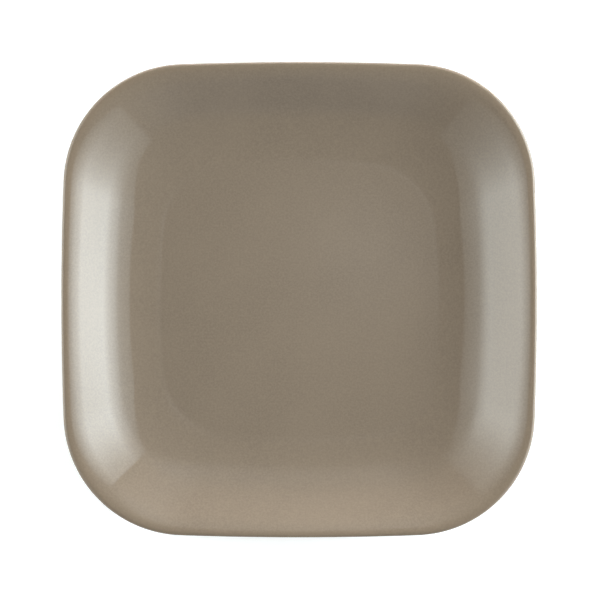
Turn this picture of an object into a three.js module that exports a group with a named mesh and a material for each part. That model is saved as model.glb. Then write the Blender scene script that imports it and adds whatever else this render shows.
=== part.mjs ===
// A square dessert plate of pressed stoneware under a glossy taupe glaze. Millimetres, +Z up.
// The origin is at the middle of the plate, on the surface that its foot ring stands on.
import * as THREE from "three";

// Outline of the lip, seen from above
const PLATE_WIDTH = 200;
const CORNER_RADIUS = 51;
const SIDE_BOW_RADIUS = 1375; // the sides aren't straight: each bows out on this long arc

// Outline of the flat of the well, which is a rounder square. The sides gain its bow down the wall, and the corners
// draw in to its radius all the way.
const WELL_CORNER_RADIUS = 30;
const WELL_BOW_RADIUS = 330;

// Section of the well and the wall, which sweeps up in hollow curves and rolls over outwards in two round ones
const FLOOR_THICKNESS = 4.8;
const WELL_EDGE_RADIUS = 25; // soft edge of the flat of the well
const WELL_EDGE_SLOPE = THREE.MathUtils.degToRad(5);
const DISH_RUN = 16; // wide hollow curve round the flat
const DISH_SLOPE = THREE.MathUtils.degToRad(20);
const BEND_RADIUS = 24; // closer hollow curve from there up into the flank of the wall
const FLANK_RUN = 9; // straight stretch between the hollow and the round curves
const FLANK_SLOPE = THREE.MathUtils.degToRad(38);
const ROLL_RADIUS = 18; // the wall eases off outwards
const CREST_SLOPE = THREE.MathUtils.degToRad(21);
const CREST_RADIUS = 6; // and turns over more closely to the crest of the lip

// Lip, outside its crest
const LIP_THICKNESS = 3.6; // also of the wall, down its flank
const LIP_EDGE_RADIUS = 1.1;

// Foot ring
const FOOT_INSET = 38; // from the outermost line of the lip
const FOOT_WIDTH = 5;
const FOOT_HEIGHT = 2.5;
const FOOT_EDGE_RADIUS = 0.8; // the bare bottom of the foot is rounded off at both edges
const FOOT_FILLET_RADIUS = 1.2;

const GLAZE_THICKNESS = 0.35;

// Fineness of the facets, in steps
const SIDE_STEPS = 4; // an even number, so that the middle of a side is a corner of the facets
const CORNER_STEPS = 9;
const LIP_STEPS = 3; // for a quarter turn
const CREST_STEPS = 2;
const ROLL_STEPS = 2;
const BEND_STEPS = 4;
const DISH_STEPS = 4;
const EDGE_STEPS = 2;
const FOOT_STEPS = 2;
const SAME_POINT = 1e-6;

const QUARTER = Math.PI / 2;
const sinFlank = Math.sin(FLANK_SLOPE);
const cosFlank = Math.cos(FLANK_SLOPE);
const sinCrest = Math.sin(CREST_SLOPE);
const cosCrest = Math.cos(CREST_SLOPE);

// A section point is a Vector2: x is its inset from the outermost line of the lip, y its height.
function sectionArc(centre, radius, start, end, steps) {
  return new THREE.ArcCurve(centre.x, centre.y, radius, start, end, start > end).getPoints(steps);
}

// Stretches of a section end to end, without the points that repeat where two of them meet.
function joined(...stretches) {
  return stretches.flat().filter((point, i, all) => i === 0 || point.distanceTo(all[i - 1]) > SAME_POINT);
}

// Heights, from the table up to the crest of the lip
const floorLevel = FOOT_HEIGHT + FLOOR_THICKNESS;
const dishRadius = DISH_RUN / (Math.sin(DISH_SLOPE) - Math.sin(WELL_EDGE_SLOPE));
const dishFootLevel = floorLevel + WELL_EDGE_RADIUS * (1 - Math.cos(WELL_EDGE_SLOPE));
const dishCentreLevel = dishFootLevel + dishRadius * Math.cos(WELL_EDGE_SLOPE);
const bendFootLevel = dishCentreLevel - dishRadius * Math.cos(DISH_SLOPE);
const bendCentreLevel = bendFootLevel + BEND_RADIUS * Math.cos(DISH_SLOPE);
const flankTopLevel = bendCentreLevel - BEND_RADIUS * cosFlank + FLANK_RUN * Math.tan(FLANK_SLOPE);
const crestFootLevel = flankTopLevel + ROLL_RADIUS * (cosCrest - cosFlank);
const plateHeight = crestFootLevel + CREST_RADIUS * (1 - cosCrest);

// Centres of the curves of the face, from the lip in to the well
const lipRadius = Math.min(LIP_EDGE_RADIUS, LIP_THICKNESS / 2);
const lipTopCentre = new THREE.Vector2(lipRadius, plateHeight - lipRadius);
const crestCentre = new THREE.Vector2(lipRadius, plateHeight - CREST_RADIUS);
const rollBack = ROLL_RADIUS - CREST_RADIUS;
const rollCentre = new THREE.Vector2(crestCentre.x - rollBack * sinCrest, crestCentre.y - rollBack * cosCrest);
const bendInset = rollCentre.x + (ROLL_RADIUS + BEND_RADIUS) * sinFlank + FLANK_RUN;
const bendCentre = new THREE.Vector2(bendInset, bendCentreLevel);
const wallInset = bendInset - BEND_RADIUS * Math.sin(DISH_SLOPE); // the foot of the wall
const dishCentre = new THREE.Vector2(wallInset + dishRadius * Math.sin(DISH_SLOPE), dishCentreLevel);
const wellInset = wallInset + DISH_RUN + WELL_EDGE_RADIUS * Math.sin(WELL_EDGE_SLOPE);
const wellEdgeCentre = new THREE.Vector2(wellInset, floorLevel + WELL_EDGE_RADIUS);

// The underside follows the roll of the lip, drops on a straight flank and bends in level to the foot ring.
// That bend is as wide as its flank and the level stretch up to the foot allow.
const footFillet = Math.min(FOOT_FILLET_RADIUS, FOOT_HEIGHT - FOOT_EDGE_RADIUS);
const footInnerInset = FOOT_INSET + FOOT_WIDTH;
const lipUnderCentre = new THREE.Vector2(lipRadius, plateHeight - LIP_THICKNESS + lipRadius);
const backCrestRadius = CREST_RADIUS - LIP_THICKNESS;
const backRollRadius = ROLL_RADIUS - LIP_THICKNESS;
const backFlankRise = rollCentre.y + backRollRadius * cosFlank - FOOT_HEIGHT;
const backCornerInset = rollCentre.x + backRollRadius * sinFlank + backFlankRise / Math.tan(FLANK_SLOPE);
const backBendReach = Math.min(backFlankRise / sinFlank, FOOT_INSET - footFillet - backCornerInset);
const backBendRadius = backBendReach / Math.tan(FLANK_SLOPE / 2);
const backBendCentre = new THREE.Vector2(backCornerInset + backBendReach, FOOT_HEIGHT + backBendRadius);
const footFilletCentre = new THREE.Vector2(FOOT_INSET - footFillet, FOOT_HEIGHT - footFillet);
const baseFilletCentre = new THREE.Vector2(footInnerInset + footFillet, FOOT_HEIGHT - footFillet);

// Each section below lies at a depth under the glazed surface: 0 is the surface, the glaze's thickness the clay.

// From the well over the crest to the line where the lip's outer side turns upright.
function faceSection(depth) {
  return joined(
    sectionArc(wellEdgeCentre, WELL_EDGE_RADIUS + depth, 3 * QUARTER, 3 * QUARTER - WELL_EDGE_SLOPE, EDGE_STEPS),
    sectionArc(dishCentre, dishRadius + depth, 3 * QUARTER - WELL_EDGE_SLOPE, 3 * QUARTER - DISH_SLOPE, DISH_STEPS),
    sectionArc(bendCentre, BEND_RADIUS + depth, 3 * QUARTER - DISH_SLOPE, 3 * QUARTER - FLANK_SLOPE, BEND_STEPS),
    sectionArc(rollCentre, ROLL_RADIUS - depth, QUARTER - FLANK_SLOPE, QUARTER - CREST_SLOPE, ROLL_STEPS),
    sectionArc(crestCentre, CREST_RADIUS - depth, QUARTER - CREST_SLOPE, QUARTER, CREST_STEPS),
    sectionArc(lipTopCentre, lipRadius - depth, QUARTER, 2 * QUARTER, LIP_STEPS),
  );
}

// From that line down the lip, under it and down the wall to the rounded bottom of the foot ring.
function backSection(depth) {
  return joined(
    [new THREE.Vector2(depth, lipTopCentre.y)],
    sectionArc(lipUnderCentre, lipRadius - depth, 2 * QUARTER, 3 * QUARTER, LIP_STEPS),
    sectionArc(crestCentre, backCrestRadius + depth, QUARTER, QUARTER - CREST_SLOPE, CREST_STEPS),
    sectionArc(rollCentre, backRollRadius + depth, QUARTER - CREST_SLOPE, QUARTER - FLANK_SLOPE, ROLL_STEPS),
    sectionArc(backBendCentre, backBendRadius - depth, 3 * QUARTER - FLANK_SLOPE, 3 * QUARTER, BEND_STEPS),
    sectionArc(footFilletCentre, footFillet + depth, QUARTER, 0, FOOT_STEPS),
    [new THREE.Vector2(FOOT_INSET + depth, FOOT_EDGE_RADIUS)],
  );
}

// The bare bottom of the foot ring, from its outer edge to its inner edge.
function footSection() {
  const outerEdge = new THREE.Vector2(FOOT_INSET + GLAZE_THICKNESS + FOOT_EDGE_RADIUS, FOOT_EDGE_RADIUS);
  const innerEdge = new THREE.Vector2(footInnerInset - GLAZE_THICKNESS - FOOT_EDGE_RADIUS, FOOT_EDGE_RADIUS);
  return joined(
    sectionArc(outerEdge, FOOT_EDGE_RADIUS, 2 * QUARTER, 3 * QUARTER, FOOT_STEPS),
    sectionArc(innerEdge, FOOT_EDGE_RADIUS, 3 * QUARTER, 4 * QUARTER, FOOT_STEPS),
  );
}

// From the rounded bottom of the foot ring up its inside and on to the level recess of the base.
function baseSection(depth) {
  return joined(
    [new THREE.Vector2(footInnerInset - depth, FOOT_EDGE_RADIUS)],
    sectionArc(baseFilletCentre, footFillet + depth, 2 * QUARTER, QUARTER, FOOT_STEPS),
  );
}

// The plate's outline at an inset: four long side arcs joined by four corner arcs, anticlockwise from above.
function outlineAt(inset) {
  const halfWidth = PLATE_WIDTH / 2 - inset;
  const downWall = Math.min(inset / wallInset, 1);
  const inwards = Math.min(inset / wellInset, 1);
  const withinWell = Math.max(inset - wellInset, 0);
  const sideRadius = 1 / THREE.MathUtils.lerp(1 / SIDE_BOW_RADIUS, 1 / WELL_BOW_RADIUS, downWall);
  const cornerRadius = THREE.MathUtils.lerp(CORNER_RADIUS, WELL_CORNER_RADIUS, inwards) - withinWell;
  const sideCentre = halfWidth - sideRadius;
  const cornerReach = sideRadius - cornerRadius;
  const cornerCentre = (sideCentre + Math.sqrt(2 * cornerReach ** 2 - sideCentre ** 2)) / 2;
  const sideTurn = Math.atan2(cornerCentre, cornerCentre - sideCentre);
  const side = new THREE.ArcCurve(sideCentre, 0, sideRadius, -sideTurn, sideTurn);
  const corner = new THREE.ArcCurve(cornerCentre, cornerCentre, cornerRadius, sideTurn, QUARTER - sideTurn);
  const points = [];
  for (let quarter = 0; quarter < 4; quarter++) {
    const stretch = [...side.getPoints(SIDE_STEPS).slice(0, -1), ...corner.getPoints(CORNER_STEPS).slice(0, -1)];
    const middle = new THREE.Vector2();
    points.push(...stretch.map((point) => point.rotateAround(middle, quarter * QUARTER)));
  }
  return points;
}

// A closed body whose section runs clockwise: out along its top, down and back in along its bottom.
// The section closes on itself in a ring, or else both its ends are filled level to the middle.
function loft(section, isRing) {
  const positions = [];
  for (const { x: inset, y: height } of section) {
    for (const point of outlineAt(inset)) {
      positions.push(point.x, point.y, height);
    }
  }
  const around = 4 * (SIDE_STEPS + CORNER_STEPS);
  const bands = isRing ? section.length : section.length - 1;
  const index = [];
  for (let band = 0; band < bands; band++) {
    const nextBand = (band + 1) % section.length;
    const from = band * around;
    const to = nextBand * around;
    const goesOut = section[band].x > section[nextBand].x;
    for (let i = 0; i < around; i++) {
      const next = (i + 1) % around;
      // Each four-sided facet is folded on the same diagonal in the clay as in the glaze that lies on it.
      if (goesOut) {
        index.push(from + i, to + i, to + next);
        index.push(from + i, to + next, from + next);
      } else {
        index.push(from + i, to + i, from + next);
        index.push(to + i, to + next, from + next);
      }
    }
  }
  if (!isRing) {
    const last = (section.length - 1) * around;
    const topMiddle = section.length * around;
    const bottomMiddle = topMiddle + 1;
    positions.push(0, 0, section[0].y);
    positions.push(0, 0, section[section.length - 1].y);
    for (let i = 0; i < around; i++) {
      const next = (i + 1) % around;
      index.push(topMiddle, i, next);
      index.push(bottomMiddle, last + next, last + i);
    }
  }
  const geometry = new THREE.BufferGeometry();
  geometry.setAttribute("position", new THREE.Float32BufferAttribute(positions, 3));
  geometry.setIndex(index);
  geometry.computeVertexNormals();
  return geometry;
}

function piece(name, geometry, colour, roughness) {
  const material = new THREE.MeshStandardMaterial({ color: colour, roughness, metalness: 0 });
  const mesh = new THREE.Mesh(geometry, material);
  mesh.name = name;
  return mesh;
}

// Well, wall, lip and foot ring of fired clay, in one pressing
function stonewareBody() {
  const section = joined(
    faceSection(GLAZE_THICKNESS),
    backSection(GLAZE_THICKNESS),
    footSection(),
    baseSection(GLAZE_THICKNESS),
  );
  return piece("stoneware_body", loft(section, false), 0x9a8468, 0.85);
}

// Glaze sprayed from above, as far as the outermost line of the lip
function faceGlaze() {
  const section = [...faceSection(0), ...faceSection(GLAZE_THICKNESS).reverse()];
  return piece("face_glaze", loft(section, false), 0x8b7f6f, 0.18);
}

// Glaze sprayed from below, from that line down to the foot ring
function backGlaze() {
  const section = [...backSection(0), ...backSection(GLAZE_THICKNESS).reverse()];
  return piece("back_glaze", loft(section, true), 0x8b7f6f, 0.2);
}

// Glaze on the recess inside the foot ring
function baseGlaze() {
  const section = [...baseSection(GLAZE_THICKNESS).reverse(), ...baseSection(0)];
  return piece("base_glaze", loft(section, false), 0x8b7f6f, 0.22);
}

const plate = new THREE.Group();
plate.name = "square_dessert_plate";
plate.add(stonewareBody(), faceGlaze(), backGlaze(), baseGlaze());

export default plate;
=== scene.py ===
# Square dessert plate: glossy taupe glaze over buff stoneware, on a white table in soft light.
import math

import bpy
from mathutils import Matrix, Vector


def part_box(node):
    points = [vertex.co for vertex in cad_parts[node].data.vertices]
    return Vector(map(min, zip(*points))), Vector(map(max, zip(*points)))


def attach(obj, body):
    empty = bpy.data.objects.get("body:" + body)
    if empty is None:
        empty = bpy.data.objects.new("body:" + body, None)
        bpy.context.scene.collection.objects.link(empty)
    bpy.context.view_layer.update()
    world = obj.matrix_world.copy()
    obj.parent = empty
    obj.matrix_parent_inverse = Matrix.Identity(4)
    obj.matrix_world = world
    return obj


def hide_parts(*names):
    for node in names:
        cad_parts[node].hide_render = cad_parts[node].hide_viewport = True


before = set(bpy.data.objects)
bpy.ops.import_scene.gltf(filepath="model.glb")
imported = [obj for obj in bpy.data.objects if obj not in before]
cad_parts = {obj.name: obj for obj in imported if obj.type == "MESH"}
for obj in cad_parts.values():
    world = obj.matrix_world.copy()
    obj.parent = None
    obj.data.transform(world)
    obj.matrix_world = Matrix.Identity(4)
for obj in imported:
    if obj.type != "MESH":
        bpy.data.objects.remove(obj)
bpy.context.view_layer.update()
quarter = math.pi / 2  # of a turn
print("frame loaded:", ", ".join(sorted(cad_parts)))

# Plate: metres, angles in radians

faceLow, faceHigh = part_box("face_glaze")
backLow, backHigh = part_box("back_glaze")
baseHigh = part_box("base_glaze")[1]
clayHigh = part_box("stoneware_body")[1]

plate = {
    "lipCorner": 0.051,  # radius of each corner, and of the long arc of each side
    "lipBow": 1.375,
    "wellCorner": 0.03,  # the flat of the well is a rounder square
    "wellBow": 0.33,
    "edgeRadius": 0.025,  # soft edge of that flat
    "edgeSlope": math.radians(5),
    "dishRun": 0.016,
    "dishSlope": math.radians(20),
    "bendRadius": 0.024,
    "flankSlope": math.radians(38),
    "rollRadius": 0.018,
    "crestSlope": math.radians(21),
    "crestRadius": 0.006,
    "lipThickness": 0.0036,
    "footWidth": 0.005,
    "footFillet": 0.0012,
    "halfWidth": faceHigh.x,
    "height": faceHigh.z,
    "lipRadius": faceHigh.z - backHigh.z,
    "glaze": faceHigh.x - clayHigh.x,
    "footEdge": backLow.z,  # the glaze stops here, above the bare foot
}
plate["floorLevel"] = faceLow.z + plate["glaze"]
plate["footHeight"] = baseHigh.z - plate["glaze"]
plate["footInner"] = plate["halfWidth"] - baseHigh.x + plate["glaze"]
plate["footOuter"] = plate["footInner"] - plate["footWidth"]

fineness = {
    "side": 14,  # steps along each side, and round each corner
    "corner": 34,
    "edge": 6,  # steps on each stretch of the section
    "dish": 12,
    "bend": 10,
    "flank": 3,
    "roll": 6,
    "crest": 6,
    "lip": 8,
    "foot": 5,
    "wellRings": 5,
    "normalStep": 0.00001,
    "samePlace": 1e-8,  # points closer than this are one
    "shellGap": 0.00002,  # between a coat's inner side and the clay
}
ringPoints = 4 * (fineness["side"] + fineness["corner"])


# A section point: inset from the lip's outermost line, height, and the way that the surface faces there
def arc(centre, radius, start, end, steps, hollow=False):
    way = -1 if hollow else 1
    points = []
    for k in range(steps + 1):
        turn = start + (end - start) * k / steps
        across, up = math.cos(turn), math.sin(turn)
        points.append((centre[0] + radius * across, centre[1] + radius * up, way * across, way * up))
    return points


def straight(first, last, steps):
    points = []
    for k in range(1, steps):
        share = k / steps
        place = [a + (b - a) * share for a, b in zip(first[:2], last[:2])]
        points.append((*place, first[2], first[3]))
    return points


def joined(*stretches):
    points = []
    for stretch in stretches:
        for point in stretch:
            if not points or math.dist(point[:2], points[-1][:2]) > fineness["samePlace"]:
                points.append(point)
    return points


def curveCentres():
    p = plate
    lip, height, flank, crest = p["lipRadius"], p["height"], p["flankSlope"], p["crestSlope"]
    edge, dish = p["edgeSlope"], p["dishSlope"]
    dishRadius = p["dishRun"] / (math.sin(dish) - math.sin(edge))
    dishLevel = p["floorLevel"] + p["edgeRadius"] * (1 - math.cos(edge)) + dishRadius * math.cos(edge)
    bendLevel = dishLevel + (p["bendRadius"] - dishRadius) * math.cos(dish)
    rollBack = p["rollRadius"] - p["crestRadius"]
    crestAt = (lip, height - p["crestRadius"])
    rollAt = (crestAt[0] - rollBack * math.sin(crest), crestAt[1] - rollBack * math.cos(crest))
    flankTop = rollAt[1] + p["rollRadius"] * math.cos(flank)
    flankFoot = bendLevel - p["bendRadius"] * math.cos(flank)
    flankRun = (flankTop - flankFoot) / math.tan(flank)
    bendAt = (rollAt[0] + (p["rollRadius"] + p["bendRadius"]) * math.sin(flank) + flankRun, bendLevel)
    wallInset = bendAt[0] - p["bendRadius"] * math.sin(dish)
    wellInset = wallInset + p["dishRun"] + p["edgeRadius"] * math.sin(edge)
    backRoll = p["rollRadius"] - p["lipThickness"]
    backRise = rollAt[1] + backRoll * math.cos(flank) - p["footHeight"]
    backCorner = rollAt[0] + backRoll * math.sin(flank) + backRise / math.tan(flank)
    backReach = p["footOuter"] - p["footFillet"] - backCorner
    backBend = backReach / math.tan(flank / 2)
    return {
        "lipTop": (lip, height - lip),
        "lipUnder": (lip, height - p["lipThickness"] + lip),
        "crest": crestAt,
        "roll": rollAt,
        "bend": bendAt,
        "dish": (wallInset + dishRadius * math.sin(dish), dishLevel),
        "dishRadius": dishRadius,
        "wellEdge": (wellInset, p["floorLevel"] + p["edgeRadius"]),
        "wallInset": wallInset,
        "wellInset": wellInset,
        "backBend": (backCorner + backReach, p["footHeight"] + backBend),
        "backBendRadius": backBend,
        "footFillet": (p["footOuter"] - p["footFillet"], p["footHeight"] - p["footFillet"]),
        "baseFillet": (p["footInner"] + p["footFillet"], p["footHeight"] - p["footFillet"]),
    }


centres = curveCentres()

# Where one arc of the section turns into the next, above and below the wall's straight flank
crestTurn = quarter - plate["crestSlope"]
rollTurn = quarter - plate["flankSlope"]
bendTurn = 3 * quarter - plate["flankSlope"]
dishTurn = 3 * quarter - plate["dishSlope"]
edgeTurn = 3 * quarter - plate["edgeSlope"]


# From the well over the crest to the lip's outermost line
def faceSection(depth):
    p, c, n = plate, centres, fineness
    edge = arc(c["wellEdge"], p["edgeRadius"] + depth, 3 * quarter, edgeTurn, n["edge"], hollow=True)
    dish = arc(c["dish"], c["dishRadius"] + depth, edgeTurn, dishTurn, n["dish"], hollow=True)
    bend = arc(c["bend"], p["bendRadius"] + depth, dishTurn, bendTurn, n["bend"], hollow=True)
    roll = arc(c["roll"], p["rollRadius"] - depth, rollTurn, crestTurn, n["roll"])
    crest = arc(c["crest"], p["crestRadius"] - depth, crestTurn, quarter, n["crest"])
    lip = arc(c["lipTop"], p["lipRadius"] - depth, quarter, 2 * quarter, n["lip"])
    return joined(edge, dish, bend, straight(bend[-1], roll[0], n["flank"]), roll, crest, lip)


# From that line under the lip and down the wall to the side of the foot
def backSection(depth):
    p, c, n = plate, centres, fineness
    inside = depth - p["lipThickness"]
    start = [(depth, c["lipTop"][1], -1, 0)]
    lip = arc(c["lipUnder"], p["lipRadius"] - depth, 2 * quarter, 3 * quarter, n["lip"])
    crest = arc(c["crest"], p["crestRadius"] + inside, quarter, crestTurn, n["crest"], hollow=True)
    roll = arc(c["roll"], p["rollRadius"] + inside, crestTurn, rollTurn, n["roll"], hollow=True)
    bend = arc(c["backBend"], c["backBendRadius"] - depth, bendTurn, 3 * quarter, n["bend"])
    fillet = arc(c["footFillet"], p["footFillet"] + depth, quarter, 0, n["foot"], hollow=True)
    return joined(start, lip, crest, roll, straight(roll[-1], bend[0], n["flank"]), bend, fillet)


# From the inside of the foot on to the recess of the base
def baseSection(depth):
    radius = plate["footFillet"] + depth
    return arc(centres["baseFillet"], radius, 2 * quarter, quarter, fineness["foot"], hollow=True)


# The end of a coat on the side of the foot, rounded off down to the clay
def coatEnd(inset, inward):
    p = plate
    centre = (inset + inward * p["glaze"], p["footEdge"] + p["glaze"])
    side = 2 * quarter if inward > 0 else 4 * quarter
    return arc(centre, p["glaze"], side, 3 * quarter, fineness["foot"])


# The bare bottom of the foot, with its edges rounded off
def footSection():
    p, n = plate, fineness
    outer = (p["footOuter"] + p["glaze"] + p["footEdge"], p["footEdge"])
    inner = (p["footInner"] - p["glaze"] - p["footEdge"], p["footEdge"])
    return joined(
        arc(outer, p["footEdge"], 2 * quarter, 3 * quarter, n["foot"]),
        arc(inner, p["footEdge"], 3 * quarter, 4 * quarter, n["foot"]),
    )


# The outline at an inset, from above: each point's place and the way that it faces
def ringAt(inset):
    p = plate
    downWall = min(inset / centres["wallInset"], 1)
    inwards = min(inset / centres["wellInset"], 1)
    inWell = max(inset - centres["wellInset"], 0)
    bow = 1 / ((1 - downWall) / p["lipBow"] + downWall / p["wellBow"])
    corner = (1 - inwards) * p["lipCorner"] + inwards * p["wellCorner"] - inWell
    sideCentre = p["halfWidth"] - inset - bow
    reach = bow - corner
    cornerCentre = (sideCentre + math.sqrt(2 * reach ** 2 - sideCentre ** 2)) / 2
    sideTurn = math.atan2(cornerCentre, cornerCentre - sideCentre)
    stretches = [
        ((sideCentre, 0), bow, -sideTurn, sideTurn, fineness["side"]),
        ((cornerCentre, cornerCentre), corner, sideTurn, quarter - sideTurn, fineness["corner"]),
    ]
    points = []
    for quarterTurn in range(4):
        turned = quarterTurn * quarter
        cosine, sine = math.cos(turned), math.sin(turned)
        for (x, y), radius, start, end, steps in stretches:
            centre = Vector((x * cosine - y * sine, x * sine + y * cosine))
            for k in range(steps):
                turn = turned + start + (end - start) * k / steps
                direction = Vector((math.cos(turn), math.sin(turn)))
                points.append((centre + direction * radius, direction))
    return points


# The faces between two rings of points
def band(low, high, around):
    faces = []
    for i in range(around):
        j = (i + 1) % around
        faces.append((low + i, high + i, high + j, low + j))
    return faces


def placed(name, data):
    thing = bpy.data.objects.new(name, data)
    bpy.context.scene.collection.objects.link(thing)
    return thing


# A closed mesh round the section, whose ends are filled level to the middle unless it is a ring
def lofted(name, section, isRing, lift=None):
    step = fineness["normalStep"]
    verts, faces, facing = [], [], []
    for inset, height, across, up in section:
        further = ringAt(inset + step)
        for i, (place, direction) in enumerate(ringAt(inset)):
            raised = lift(i / ringPoints, height) if lift else 0
            verts.append((place.x, place.y, height + raised))
            # Where the outline grows rounder, an inset moves a point by more or less than itself
            stretch = (place - further[i][0]).dot(direction) / step
            facing.append((-across * direction.x, -across * direction.y, stretch * up))
    rows = len(section)
    for row in range(rows if isRing else rows - 1):
        faces.extend(band(row * ringPoints, (row + 1) % rows * ringPoints, ringPoints))
    if not isRing:
        for row, up in ((0, 1), (rows - 1, -1)):
            level(verts, faces, facing, row * ringPoints, up)
    mesh = bpy.data.meshes.new(name)
    mesh.from_pydata(verts, [], faces)
    mesh.validate()
    mesh.shade_smooth()
    mesh.normals_split_custom_set_from_vertices([Vector(way).normalized() for way in facing])
    return placed(name, mesh)


# Rings that shrink from an edge loop to the middle of the plate
def level(verts, faces, facing, start, up):
    loop = list(range(start, start + ringPoints))
    edge = [verts[i] for i in loop]
    rings = fineness["wellRings"]
    for ring in range(1, rings):
        share = 1 - ring / rings
        inner = list(range(len(verts), len(verts) + ringPoints))
        verts.extend((x * share, y * share, z) for x, y, z in edge)
        facing.extend([(0, 0, up)] * ringPoints)
        for i in range(ringPoints):
            j = (i + 1) % ringPoints
            quad = (loop[i], loop[j], inner[j], inner[i])
            faces.append(quad if up > 0 else quad[::-1])
        loop = inner
    middle = len(verts)
    verts.append((0, 0, edge[0][2]))
    facing.append((0, 0, up))
    for i in range(ringPoints):
        j = (i + 1) % ringPoints
        faces.append((middle, loop[i], loop[j]) if up > 0 else (middle, loop[j], loop[i]))


# Shader maths

class Field:
    def __init__(self, surface, socket):
        self.surface = surface
        self.socket = socket

    def worked(self, operation, first, second):
        return self.surface.node("ShaderNodeMath", {"operation": operation}, {0: first, 1: second})

    def __add__(self, other):
        return self.worked("ADD", self, other)

    def __radd__(self, other):
        return self.worked("ADD", other, self)

    def __sub__(self, other):
        return self.worked("SUBTRACT", self, other)

    def __rsub__(self, other):
        return self.worked("SUBTRACT", other, self)

    def __mul__(self, other):
        return self.worked("MULTIPLY", self, other)

    def __rmul__(self, other):
        return self.worked("MULTIPLY", other, self)

    def __pow__(self, other):
        return self.worked("POWER", self, other)

    def __rpow__(self, other):
        return self.worked("POWER", other, self)


class Surface:
    def __init__(self, owner):
        owner.use_nodes = True
        self.tree = owner.node_tree
        self.tree.nodes.clear()

    # One node: its type, the settings that come first, the values or links of its sockets, and which
    # output is wanted
    def node(self, nodeType, settings, sockets, output=0):
        made = self.tree.nodes.new(nodeType)
        for name, value in settings.items():
            if name == "stops":
                for stop, (place, tone) in zip(made.color_ramp.elements, value):
                    stop.position = place
                    stop.color = (tone, tone, tone, 1)
            else:
                setattr(made, name, value)
        for name, value in sockets.items():
            if isinstance(value, Field):
                self.tree.links.new(value.socket, made.inputs[name])
            else:
                made.inputs[name].default_value = value
        return Field(self, made.outputs[output])

    def noise(self, size, detail, roughness=0.5):
        place = self.node("ShaderNodeTexCoord", {}, {}, "Object")
        sockets = {"Vector": place, "Scale": 1 / size, "Detail": detail, "Roughness": roughness}
        return self.node("ShaderNodeTexNoise", {}, sockets)

    def ramp(self, value, low, high):
        return self.node("ShaderNodeValToRGB", {"stops": [(low, 0), (high, 1)]}, {"Fac": value})

    # A Mix node has its colours at inputs 6 and 7 and at output 2
    def mixed(self, share, first, second):
        return self.node("ShaderNodeMix", {"data_type": "RGBA"}, {0: share, 6: first, 7: second}, 2)

    def bump(self, height, distance, strength):
        sockets = {"Height": height, "Distance": distance, "Strength": strength}
        return self.node("ShaderNodeBump", {}, sockets)

    def ended(self, shader, outputType):
        end = self.tree.nodes.new(outputType)
        self.tree.links.new(shader.socket, end.inputs["Surface"])


noiseMiddle = 0.5

glazeLook = {
    "taupe": (0.2408, 0.1835, 0.1347, 1),
    "pale": (0.2612, 0.1990, 0.1459, 1),
    "deep": (0.1986, 0.1514, 0.1111, 1),
    # The browner colour of the thin glaze on the lip, made darker there as painted shade
    "thinBrownAndLipShade": (0.2175, 0.1557, 0.1020, 1),
    "mottle": {"size": 0.0008, "detail": 3, "roughness": 0.6},
    "mottleSpan": (0.35, 0.65),  # the part of the noise over which the tone changes
    "clouds": {"size": 0.03, "detail": 2},
    "cloudSpan": (0.3, 0.7),
    "cloudShare": 0.3,
    "thinAndLipShadeShare": 0.4,
    "thinAndLipShadeReach": 0.003,  # how far from the lip the thin glaze and the painted shade on the lip edge go
    "thinRoughness": 0.2,
    "faceRoughness": 0.05,
    "backRoughness": 0.08,
    "roughnessSwing": 0.015,
    "ior": 1.6,
    "peel": {"size": 0.006, "detail": 1},
    "peelHeight": 0.00003,
    "peelStrength": 0.12,
}


def glazeMaterial(name, roughness):
    look = glazeLook
    material = bpy.data.materials.new(name)
    surface = Surface(material)
    mottle = surface.noise(**look["mottle"])
    clouds = surface.noise(**look["clouds"])
    thinAndLipShade = surface.node("ShaderNodeAttribute", {"attribute_name": "thinGlazeAndLipShade"}, {}, "Fac")
    speck = surface.ramp(mottle, *look["mottleSpan"])
    drift = surface.ramp(clouds, *look["cloudSpan"])
    colour = surface.mixed(speck, look["taupe"], look["deep"])
    colour = surface.mixed(drift * look["cloudShare"], colour, look["pale"])
    # The lip edge is browner where the glaze runs thin, and darker as painted shade
    colour = surface.mixed(thinAndLipShade * look["thinAndLipShadeShare"], colour, look["thinBrownAndLipShade"])
    swing = (mottle - noiseMiddle) * look["roughnessSwing"]
    peel = surface.noise(**look["peel"])
    shader = surface.node("ShaderNodeBsdfPrincipled", {}, {
        "Base Color": colour,
        "Roughness": roughness + swing + thinAndLipShade * look["thinRoughness"],
        "IOR": look["ior"],
        "Normal": surface.bump(peel, look["peelHeight"], look["peelStrength"]),
    })
    surface.ended(shader, "ShaderNodeOutputMaterial")
    return material


clayLook = {
    "buff": (0.42, 0.32, 0.22, 1),
    "dark": (0.27, 0.19, 0.12, 1),
    "grain": {"size": 0.0006, "detail": 4, "roughness": 0.6},
    "grainSpan": (0.45, 0.75),
    "grit": {"size": 0.0002, "detail": 2},
    "roughness": 0.85,
    "roughnessSwing": 0.15,
    "bumpHeight": 0.00008,
    "bumpStrength": 0.5,
}


def clayMaterial():
    look = clayLook
    material = bpy.data.materials.new("bareStoneware")
    surface = Surface(material)
    grain = surface.noise(**look["grain"])
    grit = surface.noise(**look["grit"])
    colour = surface.mixed(surface.ramp(grain, *look["grainSpan"]), look["buff"], look["dark"])
    shader = surface.node("ShaderNodeBsdfPrincipled", {}, {
        "Base Color": colour,
        "Roughness": look["roughness"] + (grain - noiseMiddle) * look["roughnessSwing"],
        "Normal": surface.bump(grain + grit, look["bumpHeight"], look["bumpStrength"]),
    })
    surface.ended(shader, "ShaderNodeOutputMaterial")
    return material


# Pieces

# The wiped edge of the glaze on the foot isn't quite level: it rises a little here and there, only on the
# end of the coat. Each wave has its count round the foot and its phase.
wiped = {
    "height": 0.00028,
    "waves": ((5, 0.4), (11, 1.9), (23, 4.1)),
}


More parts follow.
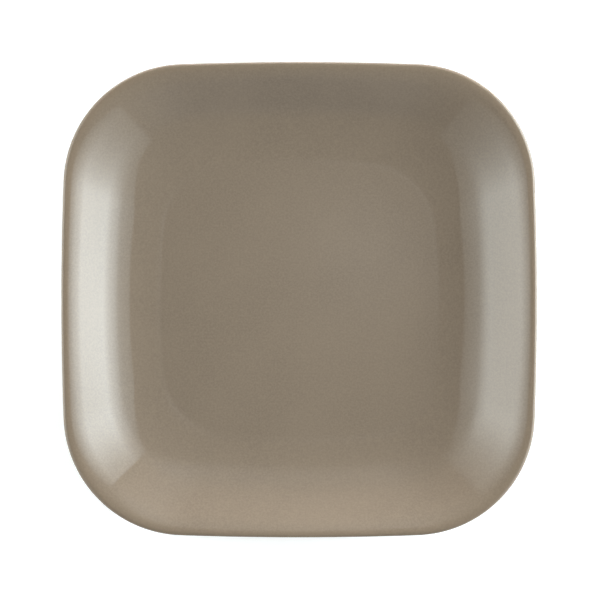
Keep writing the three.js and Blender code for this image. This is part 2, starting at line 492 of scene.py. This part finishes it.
def wipedEdge(turn, height):
    top = plate["footHeight"] - plate["footFillet"]
    share = min(max((top - height) / (top - plate["footEdge"] - plate["glaze"]), 0), 1)
    wave = sum(math.sin(count * 2 * math.pi * turn + phase) for count, phase in wiped["waves"])
    return share * wiped["height"] * (1 + wave / len(wiped["waves"])) / 2


# How thin the glaze has run, with painted shade on the lip edge: 1 on the lip, 0 on the wall. The points
# follow the section, row by row.
def paintThinAndLipShade(piece, section):
    values = [0.0] * len(piece.data.vertices)
    for row, (inset, height, *_) in enumerate(section):
        drop = max(plate["height"] - plate["lipThickness"] - height, 0)
        far = max(inset - plate["lipRadius"], 0) + drop
        share = min(far / glazeLook["thinAndLipShadeReach"], 1)
        thinAndLipShade = 1 - share * share * (3 - 2 * share)
        values[row * ringPoints:(row + 1) * ringPoints] = [thinAndLipShade] * ringPoints
    layer = piece.data.attributes.new("thinGlazeAndLipShade", "FLOAT", "POINT")
    layer.data.foreach_set("value", values)


# The inner side of a coat runs back the other way and faces the clay
def innerSide(section):
    return [(inset, height, -across, -up) for inset, height, across, up in reversed(section)]


def coat(name, section, isRing, material, node, lift=None):
    piece = lofted(name, section, isRing, lift)
    paintThinAndLipShade(piece, section)
    piece.data.materials.append(material)
    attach(piece, "root")
    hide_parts(node)
    print("coat", name, len(piece.data.polygons), "faces")


innerDepth = plate["glaze"] - fineness["shellGap"]
faceGlaze = glazeMaterial("faceGlaze", glazeLook["faceRoughness"])
backGlaze = glazeMaterial("backGlaze", glazeLook["backRoughness"])
outerEnd = coatEnd(plate["footOuter"], 1)
innerEnd = coatEnd(plate["footInner"], -1)[::-1]
faceCoat = faceSection(0) + innerSide(faceSection(innerDepth))
backCoat = backSection(0) + outerEnd + innerSide(backSection(innerDepth))
baseCoat = innerSide(baseSection(innerDepth)) + innerEnd + baseSection(0)

coat("glazedFace", faceCoat, False, faceGlaze, "face_glaze")
coat("glazedBack", backCoat, True, backGlaze, "back_glaze", wipedEdge)
coat("glazedBase", baseCoat, False, backGlaze, "base_glaze", wipedEdge)


def clayBody():
    depth = plate["glaze"]
    section = joined(faceSection(depth), backSection(depth), footSection(), baseSection(depth))
    piece = lofted("stonewareBody", section, False)
    piece.data.materials.append(clayMaterial())
    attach(piece, "root")
    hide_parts("stoneware_body")
    print("body", piece.name, len(piece.data.polygons), "faces")


clayBody()

# Table, light and camera

studio = {
    "floorMiddle": 0.5,
    "floorReach": 4.0,
    "sweepRadius": 0.7,  # the floor sweeps up into a low backdrop
    "sweepSteps": 12,
    "around": 64,
    "white": (0.8, 0.8, 0.8, 1),
    "glow": 0.5,  # near the plate, where the lamps do the rest
    "glowReach": (0.8, 1.0),  # it rises to 1 from here to here, for the lamps light less beyond
    "room": 0.1,
}


# White floor and backdrop in one sweep
def whiteSweep():
    reach, radius, around = studio["floorReach"], studio["sweepRadius"], studio["around"]
    profile = [(studio["floorMiddle"], 0)]
    for k in range(studio["sweepSteps"] + 1):
        turn = quarter * k / studio["sweepSteps"]
        profile.append((reach + radius * math.sin(turn), radius * (1 - math.cos(turn))))
    verts = []
    for out, height in profile:
        for i in range(around):
            turn = 2 * math.pi * i / around
            verts.append((out * math.cos(turn), out * math.sin(turn), height))
    faces = [tuple(range(around))]
    for row in range(len(profile) - 1):
        faces.extend(band(row * around, (row + 1) * around, around))
    mesh = bpy.data.meshes.new("whiteSweep")
    mesh.from_pydata(verts, [], faces)
    mesh.shade_smooth()
    mesh.materials.append(whiteMaterial())
    sweep = placed("whiteSweep", mesh)
    print("floor and backdrop", len(faces), "faces")


def whiteMaterial():
    material = bpy.data.materials.new("whiteSweep")
    surface = Surface(material)
    seen = surface.node("ShaderNodeLightPath", {}, {}, "Is Camera Ray")
    glossy = surface.node("ShaderNodeLightPath", {}, {}, "Is Glossy Ray")
    through = surface.node("ShaderNodeLightPath", {}, {}, "Is Transmission Ray")
    matt = surface.node("ShaderNodeBsdfDiffuse", {}, {"Color": studio["white"]})
    place = surface.node("ShaderNodeTexCoord", {}, {}, "Object")
    away = surface.node("ShaderNodeVectorMath", {"operation": "LENGTH"}, {0: place}, "Value")
    ofReach = 1 / studio["floorReach"]
    share = surface.ramp(away * ofReach, *[far * ofReach for far in studio["glowReach"]])
    white = studio["glow"] + share * (1 - studio["glow"])
    glow = surface.node("ShaderNodeEmission", {}, {"Strength": (seen + glossy + through) * white})
    both = surface.node("ShaderNodeAddShader", {}, {0: matt, 1: glow})
    surface.ended(both, "ShaderNodeOutputMaterial")
    return material


whiteSweep()

# Cloth walls of a light tent, lit from behind. Each glow has its middle along and up the wall, its spread
# both ways, how fast it falls off, and its radiance.
tentWalls = {
    "rightWall": {
        "place": (1, 0),
        "along": (-1.22, 0.98),
        "height": 2.02,
        "tint": (0.906, 1, 1.022, 1),
        "glows": [
            {"middle": (0.255, 0.453), "spread": (0.51, 0.65), "falloff": 1, "radiance": 5.92},
            {"middle": (0.74, 0.314), "spread": (0.78, 0.25), "falloff": 2, "radiance": 10.8},
            {"middle": (0.1, 1.0), "spread": (0.35, 0.3), "falloff": 2, "radiance": 1},
            {"middle": (0.42, 1.4), "spread": (0.22, 0.35), "falloff": 2, "radiance": 0.9},
        ],
    },
    "leftWall": {
        "place": (-1, 0),
        "along": (-1.5, 1.22),
        "height": 2.33,
        "tint": (0.939, 1, 0.973, 1),
        "glows": [
            {"middle": (0.1, 0.523), "spread": (0.46, 0.69), "falloff": 1, "radiance": 4.33},
            {"middle": (0.35, 1.1), "spread": (0.35, 0.4), "falloff": 2, "radiance": 0.6},
        ],
    },
    "backWall": {
        "place": (0, 1),
        "along": (-0.82, 1.02),
        "height": 2.2,
        "tint": (0.984, 1, 1.015, 1),
        "glows": [
            {"middle": (0.1, 0.1), "spread": (3.2, 0.078), "falloff": 2, "radiance": 19.5},
            {"middle": (0.3, 0.75), "spread": (0.4, 0.4), "falloff": 2, "radiance": 0.35},
            {"middle": (0.4, 1.5), "spread": (0.6, 0.7), "falloff": 2, "radiance": 0.8},
        ],
    },
    "frontWall": {
        "place": (0, -1),
        "along": (-0.67, 0.82),
        "height": 1.4,
        "tint": (0.55, 0.85, 1.25, 1),
        "glows": [
            {"middle": (0.3, 0.5), "spread": (0.9, 0.6), "falloff": 2, "radiance": 0.17},
        ],
    },
}

# A paler patch of the tent's ceiling, which the well mirrors
ceiling = {
    "middle": (0.095, 0.066, 2.4),
    "size": (0.8, 0.8),
    "tint": (1, 1, 1, 1),
    "glows": [{"middle": (0.095, 0.066), "spread": (0.14, 0.13), "falloff": 2, "radiance": 0.45}],
}


def areaLamp(name, place, faces, wide, tall):
    lamp = bpy.data.lights.new(name, "AREA")
    lamp.shape = "RECTANGLE"
    lamp.size = wide
    lamp.size_y = tall
    lamp.energy = math.pi * wide * tall  # so that its nodes give its radiance
    holder = placed(name, lamp)
    holder.location = place
    holder.rotation_euler = Vector(faces).to_track_quat("-Z", "Y").to_euler()
    holder.visible_camera = False
    return lamp


# The glow of a lamp's cloth, over two axes of the scene
def clothGlow(lamp, look, axes):
    surface = Surface(lamp)
    place = surface.node("ShaderNodeNewGeometry", {}, {}, "Position")
    first, second = [surface.node("ShaderNodeSeparateXYZ", {}, {"Vector": place}, axis) for axis in axes]
    strength = 0
    for glow in look["glows"]:
        across = (first - glow["middle"][0]) * (1 / glow["spread"][0])
        above = (second - glow["middle"][1]) * (1 / glow["spread"][1])
        away = 1 + across * across + above * above
        strength = strength + glow["radiance"] * away ** -glow["falloff"]
    cloth = surface.node("ShaderNodeEmission", {}, {"Color": look["tint"], "Strength": strength})
    surface.ended(cloth, "ShaderNodeOutputLight")


def tent():
    for name, look in tentWalls.items():
        x, y = look["place"]
        low, high = look["along"]
        middle = (low + high) / 2
        place = (x or middle, y or middle, look["height"] / 2)
        lamp = areaLamp(name, place, (-x, -y, 0), high - low, look["height"])
        clothGlow(lamp, look, "YZ" if x else "XZ")
    lamp = areaLamp("ceiling", ceiling["middle"], (0, 0, -1), *ceiling["size"])
    clothGlow(lamp, ceiling, "XY")
    print("tent walls:", ", ".join(tentWalls))


def roomLight():
    world = bpy.data.worlds.new("room")
    bpy.context.scene.world = world
    surface = Surface(world)
    glow = surface.node("ShaderNodeBackground", {}, {"Strength": studio["room"], "Color": (1, 1, 1, 1)})
    surface.ended(glow, "ShaderNodeOutputWorld")


tent()
roomLight()

shot = {
    "above": 1.1,  # from the lip's outermost line
    "halfPixels": 237.85,  # half the plate's width in the picture
    "picture": 600,
    "middle": (299.16, 299.64),  # the plate's middle in the picture
    "sensor": 36.0,
}


def camera():
    lipLevel = centres["lipTop"][1]
    perPixel = plate["halfWidth"] / shot["halfPixels"]
    data = bpy.data.cameras.new("camera")
    data.sensor_fit = "HORIZONTAL"
    data.sensor_width = shot["sensor"]
    data.lens = shot["sensor"] * shot["above"] / (shot["picture"] * perPixel)
    holder = placed("camera", data)
    right = (shot["picture"] / 2 - shot["middle"][0]) * perPixel
    up = (shot["middle"][1] - shot["picture"] / 2) * perPixel
    holder.location = (right, up, lipLevel + shot["above"])
    bpy.context.scene.camera = holder
    print("camera over the plate, lens", round(data.lens, 1), "mm")


camera()
bpy.context.scene.view_settings.view_transform = "Standard"

bpy.context.view_layer.update()
